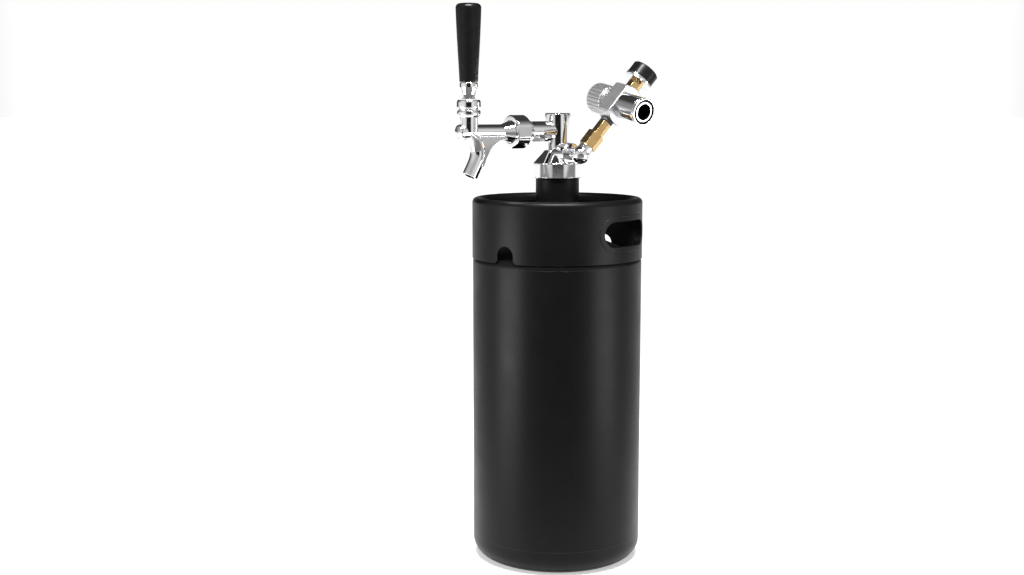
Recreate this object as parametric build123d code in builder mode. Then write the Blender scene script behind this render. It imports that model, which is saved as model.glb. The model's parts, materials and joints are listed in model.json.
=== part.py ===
"""Five litre mini keg with a tap head, a lever faucet and a small gas regulator.

Millimetres, +Z up.  The origin is the centre of the base on the floor.  The faucet points along -X.
The gas line climbs away from the head towards +X and +Z, swung a little to -Y.
"""
from build123d import *
import os

os.makedirs("parts", exist_ok=True)

# ---------------------------------------------------------------- keg
body_r = 82.5
sheet = 0.9
base_top_z = 24
base_corner_r = 17.6
dish_z = 9
dish_r = 50
foot_inner_r = 58
dome_seam_z = 293
shoulder_z = 299
shoulder_fillet_r = 8
dome_top_z = 325.05
neck_r = 21.2
neck_bore_r = 17
neck_bottom_z = 318
neck_shoulder_z = 375
neck_thread_r = 20
neck_top_z = 383

# ---------------------------------------------------------------- collar
collar_r = 83
collar_sheet = 1.2
collar_bottom_z = 297.8
rim_z = 356.5
rim_inner_r = 73.4
rim_fillet_r = 4.7
hem_bottom_z = 348.5
slot_angle = 110.5
slot_z = 325
slot_length = 66
slot_height = 24.5
slot_lip = 4.6
slot_lip_depth = 6.2
notch_angle = 19
notch_width = 18.6
notch_height = 16.5
notch_flare = 3

# ---------------------------------------------------------------- tap head
column_r = 12.4
column_top_z = 437.7
cone_base_r = 23.85
cone_base_z = 389.4
cone_top_z = 402
spigot_r = 14
chamber_r = 9
chamber_top_z = 401
nut_gap = 0.2
cap_skirt_z = 375.3
cap_lip_z = 386.8
flange_bottom_z = 384.5
flange_top_z = 386.5
tube_r = 4
tube_bore_r = 3
tube_bottom_z = 13
tube_top_z = 411
channel_r = 3.5
thread_clearance = 0.05

# ---------------------------------------------------------------- shank and coupling, from the keg's axis
tap_z = 420
shank_r = 10
shank_socket_r = 6
shank_socket_x = 7
shank_end = 47
coupling_back = 34.5
coupling_front = 55
coupling_r = 16
coupling_flats = 30.4
coupling_hole_r = 11.2
washer_end = 48.2
faucet_flange_r = 13
faucet_flange_end = 52.2
flare_r = 10.7
flare_end = 65

# ---------------------------------------------------------------- faucet
barrel_r = 7.35
barrel_end = 109.6
upstream_r = 5.25
seat_start = 66
seat_end = 68
seat_hole_r = 3.6
barrel_bore_r = 5.2
spout_r = 7.4
spout_bore_r = 5
web_half = 6.2
lever_x = -100.5
boss_r = 8.85
boss_top_z = 434.2
boss_rim_z = 438
ball_cup_r = 7.3
ball_cup_z = 434.4
pivot_z = 442
ball_r = 7
ball_seat_r = 7.06
throat_z = 446.6
bonnet_r = 11.35
bonnet_top_z = 450
finger_tip_r = 1.6
shaft_r = 2.2
shaft_guide_r = 5.15
ferrule_bottom_z = 451
handle_bottom_z = 466.4
handle_top_z = 538
handle_r = 12.1

# ---------------------------------------------------------------- gas line, distances along its axis
gas_inlet_z = 398.4
inlet_boss_r = 11
inlet_boss_end = 24
gas_origin = Vector(0, -38.4, gas_inlet_z)
gas_climb = 49.7
gas_swing = 11.8
elbow_r = 8.8
elbow_neck_r = 6.4
stub_r = 5
stub_start = 10.5
adapter_start = 9.5
adapter_end = 25.4
adapter_flats = 15.2
nipple_end = 39.7
nipple_flats = 11
port_thread_r = 4.5
regulator_s = 62.3
regulator_r = 19.7
regulator_flats = 26
regulator_half = 9
spotface = 18.6
gauge_stem_end = 90.2
gauge_back_end = 93.3
gauge_case_end = 104.2
gauge_top = 105.4
dial_bottom = 98.6
needle_bottom = 100
gauge_r = 13.4
gauge_back_r = 13.8

# ---------------------------------------------------------------- regulator, along the cartridge axis
cartridge_roll = 17.7
port_r = 13.1
port_end = 37.2
port_mouth_r = 7.8
port_step = 25
port_thread_start = 17
cartridge_thread_r = 4.8
port_relief_r = 5.2
port_floor = 12
spring_boss_r = 12.5
spring_boss_end = -24
spring_bore_r = 9
knob_r = 14.6
knob_front = -13.4
knob_floor = -26.8
knob_end = -34
knob_ribs = 24


def axial_plane(origin, direction, radial):
    """Sketch plane whose x is the radius and whose y runs along a turning axis."""
    return Plane(origin=origin, x_dir=radial, z_dir=radial.cross(direction))


def turned(plane, outline, mode=Mode.ADD):
    """Turn a closed outline of (radius, distance) points about the y axis of its plane."""
    with BuildSketch(plane) as profile:
        with BuildLine():
            Polyline(*outline, close=True)
        make_face()
    revolve(profile.sketch, axis=Axis(plane.origin, plane.y_dir), mode=mode)


def bored(plane, radius, start, end):
    """Cut a round hole along the y axis of a plane."""
    turned(plane, [(0, start), (radius, start), (radius, end), (0, end)], mode=Mode.SUBTRACT)


def ring(plane, inner_r, outer_r, start, end):
    """Add a plain ring about the y axis of a plane."""
    turned(plane, [(inner_r, start), (outer_r, start), (outer_r, end), (inner_r, end)])


def hexagon_bar(plane, flats, start, end):
    """Add a hexagonal bar along the y axis of a plane, its corners turned back at both ends."""
    with BuildSketch(Plane(origin=plane.origin + plane.y_dir * start, x_dir=plane.x_dir,
                           z_dir=plane.y_dir)) as profile:
        RegularPolygon(radius=flats / 2, side_count=6, major_radius=False, rotation=30)
    extrude(profile.sketch, amount=end - start)
    for tip, inward in ((start, 1), (end, -1)):
        turned(plane, [(flats / 2, tip), (flats, tip), (flats, tip + inward * flats / 4)],
               mode=Mode.SUBTRACT)


def coil(plane, radius, wire_r, start, end, turns):
    """Add a coil spring along the y axis of a plane."""
    with BuildLine() as path:
        Helix(pitch=(end - start) / turns, height=end - start, radius=radius,
              center=plane.origin + plane.y_dir * start, direction=plane.y_dir)
    with BuildSketch(Plane(origin=path.line @ 0, z_dir=path.line % 0)) as wire:
        Circle(wire_r)
    sweep(wire.sketch, path=path.line)


upright = Plane.XZ
tap_plane = axial_plane(Vector(0, 0, tap_z), Vector(-1, 0, 0), Vector(0, 0, 1))
lever_plane = Plane(origin=(lever_x, 0, 0), x_dir=(1, 0, 0), z_dir=(0, -1, 0))
gas_axis = Vector(1, 0, 0).rotate(Axis.Y, -gas_climb).rotate(Axis.Z, -gas_swing)
level_side = Vector(0, -1, 0).rotate(Axis.Z, -gas_swing)
cartridge_axis = level_side.rotate(Axis((0, 0, 0), gas_axis), cartridge_roll)
gas_side = gas_axis.cross(cartridge_axis)
regulator_origin = gas_origin + gas_axis * regulator_s
inlet_plane = axial_plane(Vector(0, 0, gas_inlet_z), Vector(0, -1, 0), Vector(0, 0, 1))
gas_plane = axial_plane(gas_origin, gas_axis, gas_side)
cartridge_plane = axial_plane(regulator_origin, cartridge_axis, gas_axis)

# ================================================================ keg
with BuildPart() as base_cup:
    with BuildSketch(Plane.XZ):
        with BuildLine():
            FilletPolyline((0, dish_z), (dish_r, dish_z), (foot_inner_r, 0), (body_r, 0),
                           (body_r, base_top_z), radius=(6, 6, base_corner_r))
            offset(amount=sheet, side=Side.LEFT)
        make_face()
    revolve(axis=Axis.Z)

with BuildPart() as body_tube:
    ring(upright, body_r - sheet, body_r, base_top_z, dome_seam_z)

with BuildPart() as top_dome:
    with BuildSketch(Plane.XZ):
        with BuildLine():
            FilletPolyline((body_r, dome_seam_z), (body_r, shoulder_z), (neck_r, dome_top_z),
                           radius=shoulder_fillet_r)
            offset(amount=sheet, side=Side.LEFT)
        make_face()
    revolve(axis=Axis.Z)
    bored(upright, neck_r, dome_top_z - 10, dome_top_z + 10)

with BuildPart() as neck_ring:
    turned(upright, [(neck_bore_r, neck_bottom_z), (neck_r, neck_bottom_z), (neck_r, neck_shoulder_z - 0.8),
                     (neck_r - 0.8, neck_shoulder_z), (neck_thread_r, neck_shoulder_z),
                     (neck_thread_r, neck_top_z - 0.8), (neck_thread_r - 0.8, neck_top_z),
                     (neck_bore_r, neck_top_z)])

# ================================================================ collar
slot_plane = Plane(origin=(0, 0, slot_z), z_dir=Vector(1, 0, 0).rotate(Axis.Z, slot_angle),
                   x_dir=Vector(0, 1, 0).rotate(Axis.Z, slot_angle))
notch_plane = Plane(origin=(0, 0, collar_bottom_z), z_dir=Vector(1, 0, 0).rotate(Axis.Z, notch_angle),
                    x_dir=Vector(0, 1, 0).rotate(Axis.Z, notch_angle))

with BuildPart() as handle_lips:
    ring(upright, collar_r - slot_lip_depth, collar_r + 0.5, collar_bottom_z, rim_z - 10)
    with BuildSketch(slot_plane):
        SlotOverall(slot_length + 2 * slot_lip, slot_height + 2 * slot_lip)
    extrude(amount=2 * collar_r, both=True, mode=Mode.INTERSECT)
    with BuildSketch(slot_plane):
        SlotOverall(slot_length, slot_height)
    extrude(amount=2 * collar_r, both=True, mode=Mode.SUBTRACT)

with BuildPart() as top_collar:
    with BuildSketch(Plane.XZ):
        with BuildLine():
            FilletPolyline((collar_r, collar_bottom_z), (collar_r, rim_z), (rim_inner_r, rim_z),
                           (rim_inner_r, hem_bottom_z), radius=rim_fillet_r)
            offset(amount=collar_sheet, side=Side.LEFT)
        make_face()
    revolve(axis=Axis.Z)
    with BuildSketch(slot_plane):
        SlotOverall(slot_length, slot_height)
    extrude(amount=2 * collar_r, both=True, mode=Mode.SUBTRACT)
    with BuildSketch(notch_plane):
        with BuildLine():
            Polyline((-notch_width / 2 - notch_flare, -1), (-notch_width / 2 - notch_flare, 0),
                     (-notch_width / 2, notch_flare), (-notch_width / 2, notch_height - notch_width / 2))
            RadiusArc((-notch_width / 2, notch_height - notch_width / 2),
                      (notch_width / 2, notch_height - notch_width / 2), notch_width / 2)
            Polyline((notch_width / 2, notch_height - notch_width / 2), (notch_width / 2, notch_flare),
                     (notch_width / 2 + notch_flare, 0), (notch_width / 2 + notch_flare, -1),
                     (-notch_width / 2 - notch_flare, -1))
        make_face()
    extrude(amount=2 * collar_r, both=True, mode=Mode.SUBTRACT)
    add(handle_lips.part)

# ================================================================ tap head
with BuildPart() as tap_body:
    turned(upright, [(0, flange_bottom_z), (spigot_r, flange_bottom_z), (spigot_r, cone_base_z),
                     (cone_base_r, cone_base_z), (column_r, cone_top_z), (column_r, column_top_z - 1),
                     (column_r - 1, column_top_z), (0, column_top_z)])
    with BuildSketch(Plane(origin=(0, 0, gas_inlet_z), x_dir=(1, 0, 0), z_dir=(0, -1, 0))):
        Circle(inlet_boss_r)
        with Locations((0, cone_base_z - gas_inlet_z - inlet_boss_r)):
            Rectangle(2 * inlet_boss_r, 2 * inlet_boss_r, mode=Mode.SUBTRACT)
    extrude(amount=inlet_boss_end)
    fillet(tap_body.faces().sort_by(Axis.Y)[0].edges().filter_by(GeomType.CIRCLE), 1)
    bored(upright, chamber_r, flange_bottom_z, chamber_top_z)
    bored(upright, tube_r, chamber_top_z, tube_top_z)
    bored(upright, channel_r, tube_top_z, tap_z + channel_r)
    turned(upright, [(tube_r, 404), (tube_r + 1.6, 404), (tube_r + 1.6, 406.2), (tube_r, 406.2)],
           mode=Mode.SUBTRACT)
    bored(tap_plane, channel_r, 0, shank_socket_x)
    bored(tap_plane, shank_socket_r, shank_socket_x, 2 * column_r)
    bored(inlet_plane, stub_r, chamber_r - 0.5, inlet_boss_end)

with BuildPart() as cap_nut:
    turned(upright, [(neck_thread_r + thread_clearance, cap_skirt_z), (cone_base_r - 0.6, cap_skirt_z),
                     (cone_base_r, cap_skirt_z + 0.6), (cone_base_r, cone_base_z - nut_gap - 0.4),
                     (cone_base_r - 0.4, cone_base_z - nut_gap),
                     (spigot_r + 0.3, cone_base_z - nut_gap), (spigot_r + 0.3, cap_lip_z),
                     (neck_thread_r + thread_clearance, cap_lip_z)])

with BuildPart() as head_flange:
    ring(upright, spigot_r, neck_thread_r - 0.4, flange_bottom_z, flange_top_z)

with BuildPart() as cap_gasket:
    ring(upright, neck_bore_r + 0.2, neck_thread_r - 0.6, neck_top_z, flange_bottom_z)

with BuildPart() as dip_tube:
    ring(upright, tube_bore_r, tube_r, tube_bottom_z, tube_top_z)
    with BuildSketch(Plane.XZ):
        with BuildLine():
            Polyline((-2 * tube_r, tube_bottom_z - 1), (2 * tube_r, tube_bottom_z - 1),
                     (2 * tube_r, tube_bottom_z + 6), close=True)
        make_face()
    extrude(amount=2 * tube_r, both=True, mode=Mode.SUBTRACT)

with BuildPart() as dip_tube_seal:
    with BuildSketch(Plane.XZ):
        with Locations((tube_r + 0.8, 405.1)):
            Circle(0.8)
    revolve(axis=Axis.Z)

with BuildPart() as tap_shank:
    turned(tap_plane, [(0, column_r - 8), (shank_r, column_r - 8), (shank_r, shank_end - 0.8),
                       (shank_r - 0.8, shank_end), (0, shank_end)])
    with BuildSketch(Plane.XY.offset(tap_z - 2 * shank_r)):
        Circle(column_r)
    extrude(amount=4 * shank_r, mode=Mode.SUBTRACT)
    ring(tap_plane, 0, shank_socket_r, shank_socket_x, column_r + 1)
    bored(tap_plane, channel_r, 0, shank_end)

with BuildPart() as coupling_nut:
    turned(tap_plane, [(shank_r + thread_clearance, coupling_back), (11.4, coupling_back),
                       (coupling_r, coupling_back + 6.5), (coupling_r, coupling_front - 1.2),
                       (coupling_r - 1.2, coupling_front), (coupling_hole_r, coupling_front),
                       (coupling_hole_r, faucet_flange_end + 0.2),
                       (faucet_flange_r + 0.3, faucet_flange_end + 0.2),
                       (faucet_flange_r + 0.3, shank_end - 1), (shank_r + thread_clearance, shank_end - 1)])
    with BuildSketch(Plane(origin=(-coupling_front - 1, 0, tap_z), x_dir=(0, 0, 1), z_dir=(1, 0, 0))):
        RegularPolygon(radius=coupling_flats / 2, side_count=6, major_radius=False)
    extrude(amount=coupling_front, mode=Mode.INTERSECT)

with BuildPart() as coupling_washer:
    ring(tap_plane, upstream_r + 0.3, shank_r + 1, shank_end, washer_end)

# ================================================================ faucet
with BuildPart() as faucet_body:
    turned(tap_plane, [(0, washer_end), (faucet_flange_r, washer_end), (faucet_flange_r, faucet_flange_end),
                       (flare_r, faucet_flange_end), (flare_r, coupling_front + 0.2), (barrel_r, flare_end),
                       (barrel_r, barrel_end), (0, barrel_end)])
    turned(lever_plane, [(0, tap_z), (boss_r, tap_z), (boss_r, boss_top_z), (boss_r - 0.4, boss_top_z),
                         (boss_r - 0.4, boss_rim_z), (0, boss_rim_z)])
    with BuildLine(Plane.XZ) as spout_path:
        Spline((-101, tap_z - 1), (-90.8, 402), (-100, 379), tangents=((0.9, -0.5), (-0.46, -0.89)))
    spout_start = Plane(origin=spout_path.line @ 0, z_dir=spout_path.line % 0)
    with BuildSketch(spout_start):
        Circle(spout_r)
    sweep(path=spout_path.line)
    with BuildSketch(Plane.XZ):
        with BuildLine():
            Spline((-62, tap_z - barrel_r + 0.5), (-80, 404), (-88, 388),
                   tangents=((-1, -0.1), (-0.45, -0.9)))
            Polyline((-88, 388), (-93, 402), (-101, tap_z), (-62, tap_z), (-62, tap_z - barrel_r + 0.5))
        make_face()
    extrude(amount=web_half, both=True)
    bored(tap_plane, upstream_r, 0, seat_start)
    bored(tap_plane, seat_hole_r, seat_start, seat_end)
    bored(tap_plane, barrel_bore_r, seat_end, barrel_end)
    with BuildSketch(spout_start):
        Circle(spout_bore_r)
    sweep(path=spout_path.line, mode=Mode.SUBTRACT)
    with BuildSketch(Plane.XZ):
        with BuildLine():
            Polyline((lever_x - 2.4, tap_z), (lever_x - 2.4, boss_rim_z), (lever_x + 4.6, boss_rim_z),
                     (lever_x + 5.2, boss_top_z), (lever_x + 7.7, tap_z + 5), (lever_x + 7.7, tap_z),
                     close=True)
        make_face()
    extrude(amount=2.6, both=True, mode=Mode.SUBTRACT)
    bored(lever_plane, ball_cup_r, ball_cup_z, boss_rim_z)

with BuildPart() as front_plug:
    turned(tap_plane, [(0, barrel_end - 5.8), (barrel_bore_r, barrel_end - 5.8), (barrel_bore_r, barrel_end),
                       (barrel_r, barrel_end), (barrel_r, barrel_end + 1.4),
                       (barrel_r - 0.6, barrel_end + 2.5), (barrel_r - 2.2, barrel_end + 3.3),
                       (0, barrel_end + 3.6)])

with BuildPart() as faucet_shaft:
    turned(tap_plane, [(0, seat_start - 4.6), (shaft_r, seat_start - 4.6), (shaft_r, 92),
                       (shaft_guide_r, 93), (shaft_guide_r, barrel_end - 6.2), (0, barrel_end - 6.2)])
    ring(tap_plane, 0, shaft_guide_r, 76, 78.5)
    with BuildSketch(Plane(origin=(0, 0, tap_z))):
        with Locations((-90, 8.7), (-90, -8.7)):
            Rectangle(40, 10)
    extrude(amount=2 * barrel_r, both=True, mode=Mode.SUBTRACT)
    with BuildSketch(Plane.XZ):
        with BuildLine():
            Polyline((lever_x + 2.1, tap_z + 6), (lever_x + 2.1, tap_z - 3.2), (lever_x - 2.1, tap_z - 3.2),
                     (lever_x - 2.1, tap_z + 0.5), (lever_x - 4.2, tap_z + 6), close=True)
        make_face()
    extrude(amount=2.6, both=True, mode=Mode.SUBTRACT)

with BuildPart() as seat_washer:
    ring(tap_plane, shaft_r, upstream_r - 0.45, seat_start - 2.2, seat_start - 0.02)

with BuildPart() as seat_nut:
    hexagon_bar(tap_plane, 6.4, seat_start - 4.6, seat_start - 2.2)
    bored(tap_plane, shaft_r, 0, seat_start)

with BuildPart() as ball_washer:
    ring(lever_plane, 4.9, ball_cup_r - 0.05, ball_cup_z, boss_rim_z - 0.2)
    with Locations((lever_x, 0, pivot_z)):
        Sphere(ball_seat_r, mode=Mode.SUBTRACT)

with BuildPart() as bonnet_nut:
    turned(lever_plane, [(boss_r - 0.35, boss_top_z + 0.1), (boss_r + 0.9, boss_top_z + 0.1),
                         (bonnet_r - 0.7, boss_top_z + 1.5), (bonnet_r - 0.2, boss_top_z + 2.8),
                         (bonnet_r - 0.2, boss_top_z + 4.8), (bonnet_r - 0.7, boss_top_z + 5.8),
                         (bonnet_r - 1.5, boss_top_z + 6.3), (bonnet_r - 1.5, boss_top_z + 6.9),
                         (bonnet_r - 0.6, boss_top_z + 7.6), (bonnet_r, boss_top_z + 9),
                         (bonnet_r, boss_top_z + 13.6), (bonnet_r - 0.5, boss_top_z + 15),
                         (bonnet_r - 1, bonnet_top_z), (bonnet_r - 1.35, bonnet_top_z),
                         (bonnet_r - 1.7, throat_z + 1), (5.6, throat_z), (boss_r - 0.35, throat_z - 8)])
    with Locations((lever_x, 0, pivot_z)):
        Sphere(ball_seat_r, mode=Mode.SUBTRACT)

with BuildPart() as lever:
    turned(lever_plane, [(0, tap_z - 1), (finger_tip_r - 0.4, tap_z - 1), (finger_tip_r, tap_z),
                         (finger_tip_r + 0.5, pivot_z - 6), (3, pivot_z - 6), (3, ferrule_bottom_z + 0.6),
                         (3.9, ferrule_bottom_z + 0.6), (3.9, 477), (0, 477)])
    with Locations((lever_x, 0, pivot_z)):
        Sphere(ball_r)

with BuildPart() as handle_ferrule:
    turned(lever_plane, [(3.2, ferrule_bottom_z), (6, ferrule_bottom_z), (6.5, ferrule_bottom_z + 0.6),
                         (6.8, ferrule_bottom_z + 4), (8, ferrule_bottom_z + 8.6),
                         (8.5, ferrule_bottom_z + 10.4), (8.5, handle_bottom_z - 1.2),
                         (8.1, handle_bottom_z - 0.4), (3.9, handle_bottom_z - 0.4),
                         (3.9, ferrule_bottom_z + 0.6), (3.2, ferrule_bottom_z + 0.6)])

with BuildPart() as handle_insert:
    hexagon_bar(lever_plane, 10.4, handle_bottom_z - 0.4, 479)
    bored(lever_plane, 3.9, handle_bottom_z - 2, 477.5)

with BuildPart() as tap_handle:
    with BuildSketch(Plane(origin=(lever_x, 0, 0), x_dir=(1, 0, 0), z_dir=(0, -1, 0))):
        with BuildLine():
            Spline((handle_r - 3.4, handle_bottom_z), (handle_r - 2.2, 490), (handle_r, handle_top_z),
                   tangents=((0.03, 1), (0.03, 1)))
            Polyline((handle_r, handle_top_z), (0, handle_top_z), (0, handle_bottom_z),
                     (handle_r - 3.4, handle_bottom_z))
        make_face()
    revolve(axis=Axis((lever_x, 0, 0), (0, 0, 1)))
    fillet(tap_handle.edges().filter_by(GeomType.CIRCLE).sort_by(Axis.Z)[-1], 4.2)
    fillet(tap_handle.edges().filter_by(GeomType.CIRCLE).sort_by(Axis.Z)[0], 0.8)
    with BuildSketch(Plane(origin=(lever_x, 0, handle_bottom_z), x_dir=(1, 0, 0), z_dir=(0, 0, 1))):
        Circle(6.1)
    extrude(amount=479.2 - handle_bottom_z, mode=Mode.SUBTRACT)

# ================================================================ gas line
with BuildPart() as gas_elbow:
    with Locations(tuple(gas_origin)):
        Sphere(elbow_r)
    ring(gas_plane, 0, 7.4, 0, adapter_start)
    ring(inlet_plane, 0, elbow_neck_r, inlet_boss_end, -gas_origin.Y)
    ring(inlet_plane, 0, stub_r, stub_start, inlet_boss_end)
    bored(inlet_plane, 2.2, 0, -gas_origin.Y)
    bored(gas_plane, 2.2, 0, adapter_start + 1)
    bored(gas_plane, stub_r, adapter_start - 4.5, adapter_start + 1)
    with Locations(tuple(gas_origin)):
        Sphere(2.2, mode=Mode.SUBTRACT)

with BuildPart() as inlet_adapter:
    hexagon_bar(gas_plane, adapter_flats, adapter_start, adapter_end)
    ring(gas_plane, 0, stub_r, adapter_start - 4.3, adapter_start)
    bored(gas_plane, 1.8, adapter_start - 5, adapter_start + 2)
    bored(gas_plane, 4, adapter_start + 2, adapter_start + 10.5)
    bored(gas_plane, port_thread_r, adapter_start + 10.5, adapter_end)

with BuildPart() as check_spring:
    coil(gas_plane, 2.6, 0.35, adapter_start + 2.4, adapter_start + 5.1, 3)

with BuildPart() as check_poppet:
    turned(gas_plane, [(0, adapter_start + 7.6), (3.3, adapter_start + 7.6), (3.3, adapter_start + 10.2),
                       (2.2, adapter_start + 10.45), (0, adapter_start + 10.45)])
    with BuildSketch(Plane(origin=gas_origin + gas_axis * (adapter_start + 7.6), x_dir=gas_side,
                           z_dir=gas_axis)) as flutes:
        with PolarLocations(4, 3):
            Circle(0.8)
    extrude(flutes.sketch, amount=2.2, mode=Mode.SUBTRACT)

with BuildPart() as outlet_nipple:
    hexagon_bar(gas_plane, nipple_flats, adapter_end, nipple_end)
    ring(gas_plane, 0, port_thread_r, adapter_start + 10.5, adapter_end)
    ring(gas_plane, 0, port_thread_r, nipple_end, regulator_s - spotface + 7)
    bored(gas_plane, 1.6, adapter_start, regulator_s)

with BuildPart() as outlet_seal:
    ring(gas_plane, port_thread_r, 6.3, nipple_end, regulator_s - spotface)
    fillet(outlet_seal.edges().filter_by(GeomType.CIRCLE).filter_by(lambda e: e.radius > 6), 1)

# ================================================================ regulator
section_start = Plane(origin=regulator_origin - cartridge_axis * regulator_half, x_dir=gas_axis,
                      z_dir=cartridge_axis)
with BuildPart() as regulator_body:
    with BuildSketch(section_start):
        Circle(regulator_r)
        Rectangle(2 * regulator_r, regulator_flats, mode=Mode.INTERSECT)
        fillet(vertices(), 2.5)
    extrude(amount=2 * regulator_half)
    fillet(faces().filter_by(Plane(origin=(0, 0, 0), z_dir=cartridge_axis)).edges(), 1)
    ring(cartridge_plane, 0, spring_boss_r, spring_boss_end, -regulator_half)
    bored(cartridge_plane, spring_bore_r, spring_boss_end, -2)
    bored(cartridge_plane, 5.5, -2, 2)
    bored(cartridge_plane, 1, 2, 3.5)
    bored(cartridge_plane, 3.5, 3.5, 5)
    bored(cartridge_plane, 7, 5, regulator_half)
    bored(gas_plane, 7.3, regulator_s - 2 * regulator_r, regulator_s - spotface)
    bored(gas_plane, port_thread_r, regulator_s - spotface, regulator_s - spotface + 7)
    bored(gas_plane, 1.5, regulator_s - spotface + 7, regulator_s + spotface - 7)
    bored(gas_plane, port_thread_r, regulator_s + spotface - 7, regulator_s + spotface)
    bored(gas_plane, 7.3, regulator_s + spotface, regulator_s + 2 * regulator_r)

with BuildPart() as piston:
    turned(cartridge_plane, [(0, -7.8), (8.94, -7.8), (8.94, -6.9), (8, -6.9), (8, -5.3), (8.94, -5.3),
                             (8.94, -4.4), (2, -4.4), (0.7, -3.4), (0.7, 3.55), (0, 3.55)])

with BuildPart() as piston_seal:
    ring(cartridge_plane, 8, 8.94, -6.9, -5.3)

with BuildPart() as adjusting_spring:
    coil(cartridge_plane, 6.2, 0.8, -19.4, -8.7, 6)

with BuildPart() as spring_plate:
    ring(cartridge_plane, 0, 8.65, knob_floor + 0.1, knob_floor + 3.4)
    ring(cartridge_plane, 0, 3.5, knob_floor + 3.4, knob_floor + 4)

with BuildPart() as adjusting_knob:
    ring(cartridge_plane, 0, knob_r, knob_end, knob_front)
    fillet(adjusting_knob.edges().filter_by(GeomType.CIRCLE), 1.6)
    with BuildSketch(Plane(origin=regulator_origin + cartridge_axis * knob_end, x_dir=gas_axis,
                           z_dir=cartridge_axis)):
        with PolarLocations(knob_r + 0.5, knob_ribs):
            Circle(1.2)
    extrude(amount=knob_front - knob_end, mode=Mode.SUBTRACT)
    bored(cartridge_plane, spring_boss_r + thread_clearance, knob_floor, knob_front)

with BuildPart() as valve_poppet:
    turned(cartridge_plane, [(0, 3.6), (1.2, 3.6), (2.6, 4.4), (2.6, 6.6), (1.2, 6.6), (1.2, 8.2), (0, 8.2)])

with BuildPart() as valve_spring:
    coil(cartridge_plane, 2.2, 0.35, 7.6, 10.5, 3)

with BuildPart() as cartridge_port:
    turned(cartridge_plane, [(0, regulator_half), (port_r - 0.8, regulator_half),
                             (port_r, regulator_half + 0.8), (port_r, port_end - 3.4),
                             (port_r - 0.5, port_end - 3.1), (port_r - 0.5, port_end - 2.5),
                             (port_r, port_end - 2.2), (port_r, port_end - 0.6), (port_r - 0.6, port_end),
                             (port_r - 1.3, port_end), (port_r - 1.6, port_end - 1.8),
                             (port_mouth_r + 1.8, port_end - 1.8), (port_mouth_r + 1.5, port_end - 0.3),
                             (0, port_end - 0.3)])
    ring(cartridge_plane, 0, 7, 5, regulator_half)
    bored(cartridge_plane, 3.5, 5, 11)
    bored(cartridge_plane, 1.4, 11, port_floor)
    bored(cartridge_plane, port_relief_r, port_floor, port_thread_start)
    bored(cartridge_plane, cartridge_thread_r, port_thread_start, port_step)
    bored(cartridge_plane, port_mouth_r, port_step, port_end)

with BuildPart() as piercing_pin:
    turned(cartridge_plane, [(0.5, port_floor), (port_relief_r, port_floor),
                             (port_relief_r, port_floor + 1.8), (1.3, port_floor + 1.8),
                             (1.1, port_floor + 3.9), (0.5, port_floor + 4.7)])

with BuildPart() as cartridge_seal:
    ring(cartridge_plane, 1.8, port_relief_r, port_floor + 1.8, port_floor + 3.2)

# ================================================================ gauge
with BuildPart() as gauge_stem:
    hexagon_bar(gas_plane, 12, regulator_s + spotface, gauge_stem_end)
    ring(gas_plane, 0, port_thread_r, regulator_s + spotface - 6.5, regulator_s + spotface)
    ring(gas_plane, 0, 3.6, gauge_stem_end, gauge_stem_end + 5.5)
    bored(gas_plane, 1.2, regulator_s, gauge_stem_end + 4)

with BuildPart() as gauge_back:
    turned(gas_plane, [(3.6, gauge_stem_end), (gauge_back_r - 1, gauge_stem_end),
                       (gauge_back_r, gauge_stem_end + 0.9), (gauge_back_r, gauge_back_end),
                       (12.6, gauge_back_end), (12.6, gauge_stem_end + 1.6), (3.6, gauge_stem_end + 1.6)])

with BuildPart() as gauge_case:
    turned(gas_plane, [(12.4, gauge_back_end), (gauge_r, gauge_back_end), (gauge_r, gauge_case_end),
                       (12.4, gauge_case_end), (12.4, gauge_case_end - 1.4), (11.8, gauge_case_end - 1.4),
                       (11.8, gauge_case_end - 2), (12.4, gauge_case_end - 2)])

with BuildPart() as gauge_bezel:
    turned(gas_plane, [(11.2, gauge_case_end), (gauge_r, gauge_case_end), (gauge_r, gauge_top - 0.9),
                       (gauge_r - 0.9, gauge_top), (11.6, gauge_top), (11.2, gauge_top - 0.4)])

with BuildPart() as gauge_lens:
    ring(gas_plane, 0, 12.3, gauge_case_end - 1.4, gauge_case_end)

with BuildPart() as gauge_dial:
    ring(gas_plane, 0.9, 11.7, dial_bottom, dial_bottom + 0.6)

with BuildPart() as dial_posts:
    for side in (-1, 1):
        post_foot = gas_origin + gas_axis * (gauge_stem_end + 1.6) + gas_side * side * 9.8
        with BuildSketch(Plane(origin=post_foot, x_dir=gas_side, z_dir=gas_axis)) as post:
            Circle(1)
        extrude(post.sketch, amount=dial_bottom - gauge_stem_end - 1.6)

with BuildPart() as bourdon_tube:
    with BuildSketch(gas_plane) as tube_section:
        with Locations((6.6, gauge_stem_end + 3.6)):
            Circle(0.9)
    revolve(tube_section.sketch, axis=Axis(gas_origin, gas_axis), revolution_arc=250)
    with BuildSketch(Plane(origin=gas_origin + gas_axis * (gauge_stem_end + 3.6) + gas_side * 3.6,
                           x_dir=gas_axis, z_dir=gas_side)) as feeder:
        Circle(0.9)
    extrude(feeder.sketch, amount=3)

with BuildPart() as needle_spindle:
    ring(gas_plane, 0, 0.8, gauge_stem_end + 6, needle_bottom + 0.8)

with BuildPart() as gauge_needle:
    ring(gas_plane, 0.86, 1.6, needle_bottom, needle_bottom + 0.6)
    with BuildSketch(Plane(origin=gas_origin + gas_axis * needle_bottom, x_dir=gas_side, z_dir=gas_axis)):
        with BuildLine():
            Polyline((-0.7, 1.2), (-4, 2.6), (-9.6, 6), (-9.4, 6.3), (-3.4, 3.4), (-0.3, 1.4), close=True)
        make_face()
    extrude(amount=0.6)

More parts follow.
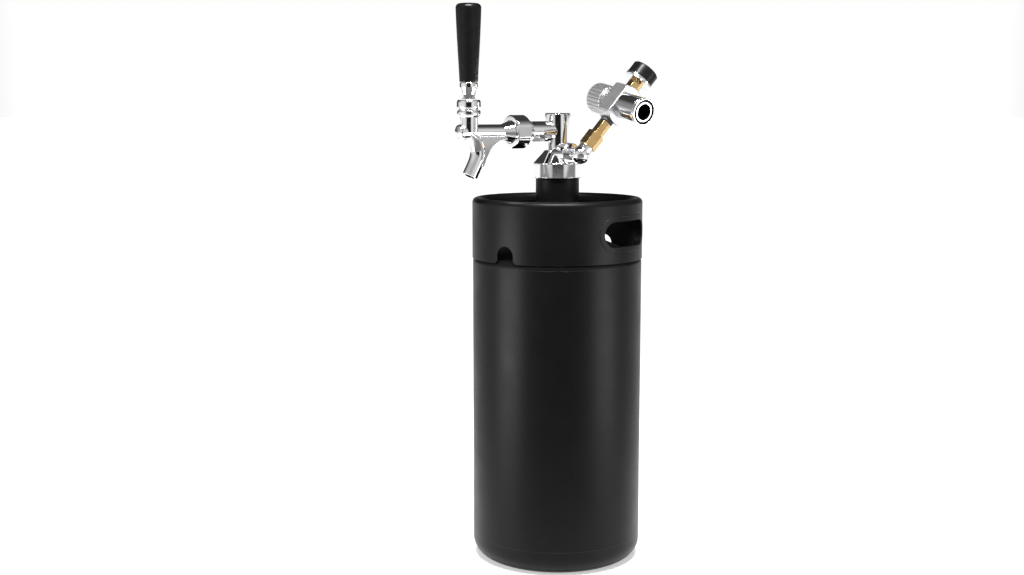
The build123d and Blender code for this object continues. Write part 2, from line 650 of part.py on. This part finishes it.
pieces = {
    "base_cup": base_cup,
    "body_tube": body_tube,
    "top_dome": top_dome,
    "neck_ring": neck_ring,
    "top_collar": top_collar,
    "tap_body": tap_body,
    "cap_nut": cap_nut,
    "head_flange": head_flange,
    "cap_gasket": cap_gasket,
    "dip_tube": dip_tube,
    "dip_tube_seal": dip_tube_seal,
    "tap_shank": tap_shank,
    "coupling_nut": coupling_nut,
    "coupling_washer": coupling_washer,
    "faucet_body": faucet_body,
    "front_plug": front_plug,
    "faucet_shaft": faucet_shaft,
    "seat_washer": seat_washer,
    "seat_nut": seat_nut,
    "ball_washer": ball_washer,
    "bonnet_nut": bonnet_nut,
    "lever": lever,
    "handle_ferrule": handle_ferrule,
    "handle_insert": handle_insert,
    "tap_handle": tap_handle,
    "gas_elbow": gas_elbow,
    "inlet_adapter": inlet_adapter,
    "check_spring": check_spring,
    "check_poppet": check_poppet,
    "outlet_nipple": outlet_nipple,
    "outlet_seal": outlet_seal,
    "regulator_body": regulator_body,
    "piston": piston,
    "piston_seal": piston_seal,
    "adjusting_spring": adjusting_spring,
    "spring_plate": spring_plate,
    "adjusting_knob": adjusting_knob,
    "valve_poppet": valve_poppet,
    "valve_spring": valve_spring,
    "cartridge_port": cartridge_port,
    "piercing_pin": piercing_pin,
    "cartridge_seal": cartridge_seal,
    "gauge_stem": gauge_stem,
    "gauge_back": gauge_back,
    "gauge_case": gauge_case,
    "gauge_bezel": gauge_bezel,
    "gauge_lens": gauge_lens,
    "gauge_dial": gauge_dial,
    "dial_posts": dial_posts,
    "bourdon_tube": bourdon_tube,
    "needle_spindle": needle_spindle,
    "gauge_needle": gauge_needle,
}
for name, piece in pieces.items():
    piece.part.label = name
    export_step(piece.part, f"parts/{name}.step")
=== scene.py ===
import json
import math

import bpy
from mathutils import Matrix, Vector

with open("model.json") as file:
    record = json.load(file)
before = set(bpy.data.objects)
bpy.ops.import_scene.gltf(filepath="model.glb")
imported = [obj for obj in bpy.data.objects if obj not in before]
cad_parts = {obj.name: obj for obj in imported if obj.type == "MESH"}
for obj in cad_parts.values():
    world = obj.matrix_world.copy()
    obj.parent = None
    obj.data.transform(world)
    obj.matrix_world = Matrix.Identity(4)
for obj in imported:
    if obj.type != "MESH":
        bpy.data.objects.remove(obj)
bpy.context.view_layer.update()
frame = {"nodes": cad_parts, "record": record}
record = frame["record"]
scene = bpy.context.scene

# ------------------------------------------------------------------ sizes, in metres and degrees
edge_width = 0.0005                     # of the lighter line and the softened corner on a sharp edge
bevel_samples = 4

port_bore_r = 0.0080
port_groove_r = 0.0119
port_groove_at = 0.0155                 # along the port from the middle of its thread

camera_turn = 33
camera_tilt = 7.45
camera_side = -0.04421
camera_distance = 1.3406
camera_height = 0.4426
focal_length_mm = 48.29
sensor_width_mm = 36

floor_near = -6
floor_reach = 60
light_aim_height = 0.30


# ------------------------------------------------------------------ node helpers
class Graph:
    """Short names for the nodes that the materials and the world are built from."""

    def __init__(self, tree):
        self.tree = tree

    def node(self, kind, **values):
        made = self.tree.nodes.new(kind)
        for key, value in values.items():
            setattr(made, key, value)
        return made

    def plug(self, value, socket):
        """Set a socket to a constant, or link an output to it."""
        if isinstance(value, (int, float)):
            socket.default_value = value
        elif isinstance(value, tuple):
            socket.default_value = (*value, 1) if socket.type == "RGBA" else value
        else:
            self.tree.links.new(value, socket)

    def spread(self, value, low, high, start=0.3, end=0.7):
        """Map the values from start to end onto the range from low to high."""
        made = self.node("ShaderNodeMapRange")
        self.plug(start, made.inputs["From Min"])
        self.plug(end, made.inputs["From Max"])
        self.plug(low, made.inputs["To Min"])
        self.plug(high, made.inputs["To Max"])
        self.plug(value, made.inputs["Value"])
        return made.outputs["Result"]

    def mix(self, factor, first, second):
        """Blend from the first colour to the second."""
        made = self.node("ShaderNodeMix", data_type="RGBA")
        self.plug(factor, made.inputs["Factor"])
        first_colour, second_colour = (socket for socket in made.inputs if socket.type == "RGBA")
        self.plug(first, first_colour)
        self.plug(second, second_colour)
        return next(socket for socket in made.outputs if socket.type == "RGBA")

    def math(self, operation, *values):
        made = self.node("ShaderNodeMath", operation=operation)
        for value, socket in zip(values, made.inputs):
            self.plug(value, socket)
        return made.outputs["Value"]

    def vector_math(self, operation, *values):
        made = self.node("ShaderNodeVectorMath", operation=operation)
        for value, socket in zip(values, made.inputs):
            self.plug(value, socket)
        return made.outputs["Value" if operation in ("DOT_PRODUCT", "LENGTH") else "Vector"]


class Shader(Graph):
    """A node material being built."""

    def __init__(self, name):
        self.material = bpy.data.materials.new(name)
        self.material.use_nodes = True
        super().__init__(self.material.node_tree)
        self.bsdf = self.tree.nodes["Principled BSDF"]
        self.place = self.node("ShaderNodeTexCoord").outputs["Object"]

    def stretched(self, scale):
        mapping = self.node("ShaderNodeMapping")
        self.plug(scale, mapping.inputs["Scale"])
        self.plug(self.place, mapping.inputs["Vector"])
        return mapping.outputs["Vector"]

    def noise(self, scale, detail=3.0, roughness=0.5, vector=None):
        made = self.node("ShaderNodeTexNoise")
        self.plug(scale, made.inputs["Scale"])
        self.plug(detail, made.inputs["Detail"])
        self.plug(roughness, made.inputs["Roughness"])
        self.plug(vector or self.place, made.inputs["Vector"])
        return made.outputs["Fac"]

    def about_axis(self, origin, axis):
        """Distance along an axis and radius from it."""
        arm = self.vector_math("SUBTRACT", self.place, tuple(origin))
        along = self.vector_math("DOT_PRODUCT", arm, tuple(axis))
        away = self.vector_math("CROSS_PRODUCT", arm, tuple(axis))
        return along, self.vector_math("LENGTH", away)

    def soft_edges(self, width=edge_width):
        made = self.node("ShaderNodeBevel", samples=bevel_samples)
        self.plug(width, made.inputs["Radius"])
        return made.outputs["Normal"]

    def edge(self, width=edge_width):
        """1 on sharp edges, 0 on flat faces."""
        plain = self.node("ShaderNodeNewGeometry").outputs["Normal"]
        likeness = self.vector_math("DOT_PRODUCT", self.soft_edges(width), plain)
        return self.spread(self.math("SUBTRACT", 1, likeness), 0, 1, start=0.02, end=0.25)

    def bump(self, height, strength, distance, normal=None):
        made = self.node("ShaderNodeBump")
        self.plug(strength, made.inputs["Strength"])
        self.plug(distance, made.inputs["Distance"])
        self.plug(height, made.inputs["Height"])
        if normal is not None:
            self.plug(normal, made.inputs["Normal"])
        return made.outputs["Normal"]

    def set(self, **values):
        for key, value in values.items():
            self.plug(value, self.bsdf.inputs[key.replace("_", " ")])


# ------------------------------------------------------------------ materials
def powder_coat():
    s = Shader("powder_coat")
    colour = s.mix(s.noise(60, 4), (0.0018, 0.0018, 0.0019), (0.0032, 0.0032, 0.0034))
    colour = s.mix(s.edge(0.0006), colour, (0.02, 0.02, 0.021))
    s.set(Base_Color=colour, Roughness=s.spread(s.noise(35, 3), 0.35, 0.42), Specular_IOR_Level=0.10)
    grain = s.bump(s.noise(2600, 2), 0.10, 0.00005, s.soft_edges())
    s.set(Normal=s.bump(s.noise(900, 3), 0.06, 0.0001, grain))
    return s.material


def polished(name, dark, light, rough, painted_shade=None):
    """Chrome, with painted shade in near black where the function handed in gives 1."""
    s = Shader(name)
    colour = s.mix(s.noise(40, 4), dark, light)
    colour = s.mix(s.edge(), colour, (0.93, 0.93, 0.94))
    roughness = s.spread(s.noise(160, 4), *rough)
    if painted_shade:
        # Painted shade: the masked hollows are coloured near black and made rougher to stand in for the
        # shadow inside them.
        shade_mask = painted_shade(s)
        colour = s.mix(shade_mask, colour, (0.018, 0.018, 0.019))
        roughness = s.math("ADD", roughness, s.math("MULTIPLY", shade_mask, 0.4))
    s.set(Base_Color=colour, Metallic=1.0, Roughness=roughness)
    s.set(Normal=s.bump(s.noise(300, 2), 0.02, 0.0001, s.soft_edges()))
    return s.material


def port_hollow_shade(s):
    """1 in the cartridge port's bore and in the groove of its face, where near black is painted as shade."""
    thread = next(mount for mount in record["mounts"] if mount["name"] == "cartridge_thread")
    along, radius = s.about_axis(thread["pos_m"], thread["axis"])
    bore = s.math("LESS_THAN", radius, port_bore_r)
    below_face = s.math("LESS_THAN", along, port_groove_at)
    groove = s.math("MULTIPLY", below_face, s.math("LESS_THAN", radius, port_groove_r))
    return s.math("MAXIMUM", bore, groove)


def metal(name, dark, light, worn, rough):
    """Turned metal with fine streaks across its height."""
    s = Shader(name)
    colour = s.mix(s.noise(90, 5), dark, light)
    colour = s.mix(s.edge(), colour, worn)
    streaks = s.noise(1, 4, 0.6, s.stretched((120, 120, 2600)))
    s.set(Base_Color=colour, Metallic=1.0, Roughness=s.spread(streaks, *rough))
    s.set(Normal=s.bump(streaks, 0.08, 0.00005, s.soft_edges(0.0004)))
    return s.material


def plastic(name, dark, light, rough, grain, grain_scale=1800, gloss=0.5):
    s = Shader(name)
    colour = s.mix(s.noise(70, 4), dark, light)
    worn = tuple(min(1, 1.6 * level + 0.01) for level in light)
    colour = s.mix(s.edge(), colour, worn)
    s.set(Base_Color=colour, Roughness=s.spread(s.noise(120, 4), *rough), Specular_IOR_Level=gloss)
    s.set(Normal=s.bump(s.noise(grain_scale, 3), grain, 0.00006, s.soft_edges()))
    return s.material


def clear_plastic():
    s = Shader("gauge_window")
    colour = s.mix(s.noise(80, 2), (0.97, 0.98, 0.98), (1, 1, 1))
    s.set(Base_Color=colour, Roughness=s.spread(s.noise(200, 3), 0.01, 0.04))
    s.set(Transmission_Weight=1.0, IOR=1.45, Normal=s.bump(s.noise(150, 2), 0.01, 0.00005))
    return s.material


looks = {
    "black_coat": powder_coat(),
    "chrome": polished("chrome", (0.80, 0.80, 0.81), (0.87, 0.87, 0.88), (0.035, 0.085)),
    "steel": metal("plain_steel", (0.45, 0.45, 0.46), (0.58, 0.58, 0.59), (0.75, 0.75, 0.76), (0.18, 0.32)),
    "brass": metal("turned_brass", (0.66, 0.41, 0.15), (0.86, 0.60, 0.28), (0.95, 0.78, 0.48), (0.12, 0.22)),
    "satin_grey": metal("satin_grey", (0.50, 0.50, 0.51), (0.60, 0.60, 0.61), (0.78, 0.78, 0.79),
                        (0.32, 0.44)),
    "rubber": plastic("black_rubber", (0.012, 0.012, 0.012), (0.022, 0.022, 0.022), (0.55, 0.7), 0.2),
    "white_plastic": plastic("white_plastic", (0.70, 0.70, 0.68), (0.80, 0.80, 0.78), (0.35, 0.45), 0.1),
    "black_handle": plastic("handle_black", (0.002, 0.002, 0.0021), (0.004, 0.004, 0.0042), (0.24, 0.32),
                            0.05, grain_scale=900, gloss=0.16),
    "black_case": plastic("case_black", (0.003, 0.003, 0.0031), (0.006, 0.006, 0.0062), (0.22, 0.30),
                          0.08, gloss=0.16),
    "clear_lens": clear_plastic(),
    "dial_white": plastic("dial_white", (0.72, 0.72, 0.70), (0.82, 0.82, 0.80), (0.4, 0.5), 0.05),
    "needle_black": plastic("needle_black", (0.02, 0.02, 0.02), (0.035, 0.035, 0.035), (0.4, 0.5), 0.05),
}
own_looks = {
    "gauge_back": metal("silver_back", (0.60, 0.60, 0.61), (0.72, 0.72, 0.73), (0.86, 0.86, 0.87),
                        (0.12, 0.22)),
    # The port's chrome carries painted shade in its bore and in the groove of its face.
    "cartridge_port": polished("port_chrome", (0.72, 0.72, 0.73), (0.80, 0.80, 0.81), (0.05, 0.10),
                               port_hollow_shade),
}
slot_of = {row["node"]: row["material_slot"] for row in record["subparts"]}
for name, node in frame["nodes"].items():
    material = own_looks.get(name) or looks[slot_of[name]]
    for slot in node.material_slots:
        slot.material = material

# ------------------------------------------------------------------ stage
view_turn = math.radians(camera_turn)
to_right = Vector((math.cos(view_turn), -math.sin(view_turn), 0))
to_back = Vector((math.sin(view_turn), math.cos(view_turn), 0))

corners = [to_right * side + to_back * depth
           for side, depth in ((-floor_reach, floor_near), (floor_reach, floor_near),
                               (floor_reach, floor_reach), (-floor_reach, floor_reach))]
floor_mesh = bpy.data.meshes.new("floor")
floor_mesh.from_pydata([tuple(corner) for corner in corners], [], [(0, 1, 2, 3)])
floor = bpy.data.objects.new("floor", floor_mesh)
scene.collection.objects.link(floor)

# The floor glows more towards the back, so that it meets the white wall without a line.
pale = Shader("pale_floor")
behind = pale.vector_math("DOT_PRODUCT", pale.place, tuple(to_back))
pale.set(Base_Color=pale.mix(pale.noise(3, 3), (0.80, 0.80, 0.80), (0.84, 0.84, 0.84)),
         Roughness=pale.spread(pale.noise(8, 3), 0.55, 0.65),
         Normal=pale.bump(pale.noise(500, 2), 0.02, 0.0001),
         Emission_Color=(1.0, 1.0, 1.0),
         Emission_Strength=pale.spread(behind, 0.0, 0.97, start=-0.7, end=0.9))
floor_mesh.materials.append(pale.material)

# ------------------------------------------------------------------ light
world = bpy.data.worlds.new("studio")
scene.world = world
world.use_nodes = True
sky = Graph(world.node_tree)
direction = sky.node("ShaderNodeTexCoord").outputs["Generated"]
turn = sky.math("ARCTAN2", sky.vector_math("DOT_PRODUCT", direction, tuple(to_right)),
                sky.vector_math("DOT_PRODUCT", direction, tuple(-to_back)))
around = sky.spread(turn, 0, 1, start=-math.pi, end=math.pi)
split = sky.node("ShaderNodeSeparateXYZ")
sky.plug(direction, split.inputs["Vector"])
upward = split.outputs["Z"]


def room_ring(levels):
    """Brightness by the angle from the camera's side of the keg, positive to the right."""
    ring = sky.node("ShaderNodeValToRGB")
    sky.plug(around, ring.inputs["Fac"])
    stops = ring.color_ramp.elements
    for end in (0, -1):
        stops[end].color = (*[levels[end][1]] * 3, 1)
    for angle, level in levels:
        stops.new(0.5 + angle / 360).color = (level, level, level, 1)
    return ring.outputs["Color"]


def by_height(low, high, below, above):
    """Blend from one colour to the other between two heights on the unit sphere."""
    return sky.mix(sky.spread(upward, 0, 1, start=low, end=high), below, above)


# Dark round the camera, bright panels to both sides, dark strips further back, and white behind the keg.
walls = room_ring(((-160, 1.0), (-152, 0.03), (-122, 0.06), (-108, 0.55), (-95, 0.95), (-45, 0.85),
                   (-29, 0.62), (-22, 0.012), (25, 0.012), (30, 0.80), (45, 0.95), (60, 0.55),
                   (80, 0.62), (98, 0.40), (112, 0.22), (122, 0.06), (152, 0.03), (160, 1.0)))
upper_walls = room_ring(((-120, 0.05), (-95, 0.45), (-60, 0.85), (-22, 0.60), (0, 0.40), (22, 0.60),
                         (60, 0.85), (95, 0.45), (120, 0.05)))
dome = by_height(-0.06, -0.045, (0.6, 0.6, 0.6), walls)
dome = by_height(0.10, 0.20, dome, upper_walls)
dome = by_height(0.55, 0.90, dome, (0.05, 0.05, 0.05))
sky.plug(dome, world.node_tree.nodes["Background"].inputs["Color"])


def softbox(name, side, depth, height, size, power, spread=180):
    """A rectangular light aimed at the keg, placed by its offsets from it as the camera sees it."""
    light = bpy.data.lights.new(name, "AREA")
    light.shape = "RECTANGLE"
    light.size, light.size_y = size
    light.energy = power
    light.spread = math.radians(spread)
    lamp = bpy.data.objects.new(name, light)
    lamp.location = to_right * side + to_back * depth + Vector((0, 0, height))
    aim = Vector((0, 0, light_aim_height)) - lamp.location
    lamp.rotation_euler = aim.to_track_quat("-Z", "Y").to_euler()
    scene.collection.objects.link(lamp)


softbox("left_strip", side=-0.75, depth=-0.34, height=0.155, size=(0.40, 0.30), power=4.6)
softbox("right_strip", side=0.70, depth=-0.36, height=0.155, size=(0.38, 0.30), power=3.2)
softbox("upper_front", side=0.0, depth=-0.42, height=1.15, size=(0.60, 0.16), power=4.5, spread=60)

# ------------------------------------------------------------------ camera
optics = bpy.data.cameras.new("camera")
optics.lens = focal_length_mm
optics.sensor_width = sensor_width_mm
camera = bpy.data.objects.new("camera", optics)
camera.location = to_right * camera_side - to_back * camera_distance + Vector((0, 0, camera_height))
camera.rotation_euler = (math.radians(90 - camera_tilt), 0, -view_turn)
scene.collection.objects.link(camera)
scene.camera = camera
scene.view_settings.view_transform = "Standard"
